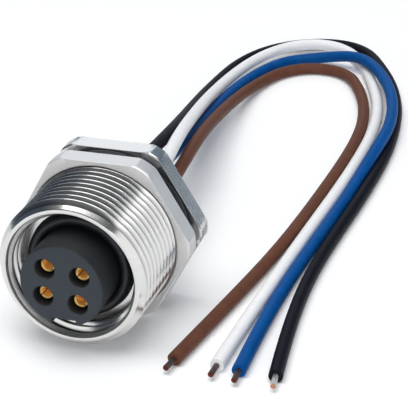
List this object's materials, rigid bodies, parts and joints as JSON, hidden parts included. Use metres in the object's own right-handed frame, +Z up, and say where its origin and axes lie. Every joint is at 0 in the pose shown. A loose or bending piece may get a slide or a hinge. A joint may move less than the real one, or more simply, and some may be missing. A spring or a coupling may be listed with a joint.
{
  "type": "circular panel mount connector",
  "caption": "Round panel mount receptacle with keyed insert and socket contacts, threaded metal shell, hex lock nut, sealing ring and loose single wires.",
  "frame": {"origin": "centre of the connector's footprint without its wires, on the surface it lies on, under the lower hex flats", "axes": "+Z up, -Y out of the mouth along the connector's axis, +Y towards the wires, +X to the right seen from the front"},
  "size_m": [0.0512, 0.1458, 0.028],
  "materials": {
    "nickel_plated_brass": "bright nickel plating",
    "black_rubber": "smooth moulded rubber",
    "insert_plastic": "matte moulded plastic",
    "gold_plated_brass": "gold plating",
    "potting_resin": "cast resin",
    "black_insulation": "extruded insulation",
    "white_insulation": "extruded insulation",
    "blue_insulation": "extruded insulation",
    "brown_insulation": "extruded insulation",
    "tinned_copper": "stranded tinned copper"
  },
  "bodies": {
    "connector": {"threaded_shell": "nickel_plated_brass", "panel_seal": "black_rubber", "contact_insert": "insert_plastic", "contact_carrier": "insert_plastic", "face_seal": "black_rubber", "contact_1": "gold_plated_brass", "contact_2": "gold_plated_brass", "contact_3": "gold_plated_brass", "contact_4": "gold_plated_brass", "potting": "potting_resin", "wire_black": "black_insulation", "wire_white": "white_insulation", "wire_blue": "blue_insulation", "wire_brown": "brown_insulation", "bare_end_black": "tinned_copper", "bare_end_white": "tinned_copper", "bare_end_blue": "tinned_copper", "bare_end_brown": "tinned_copper"},
    "nut": {"lock_nut": "nickel_plated_brass"}
  },
  "joints": [
    {"name": "nut_travel", "type": "slide", "parent": "connector", "child": "nut", "axis": [0, -1, 0], "range_m": [0, 0.017]}
  ]
}
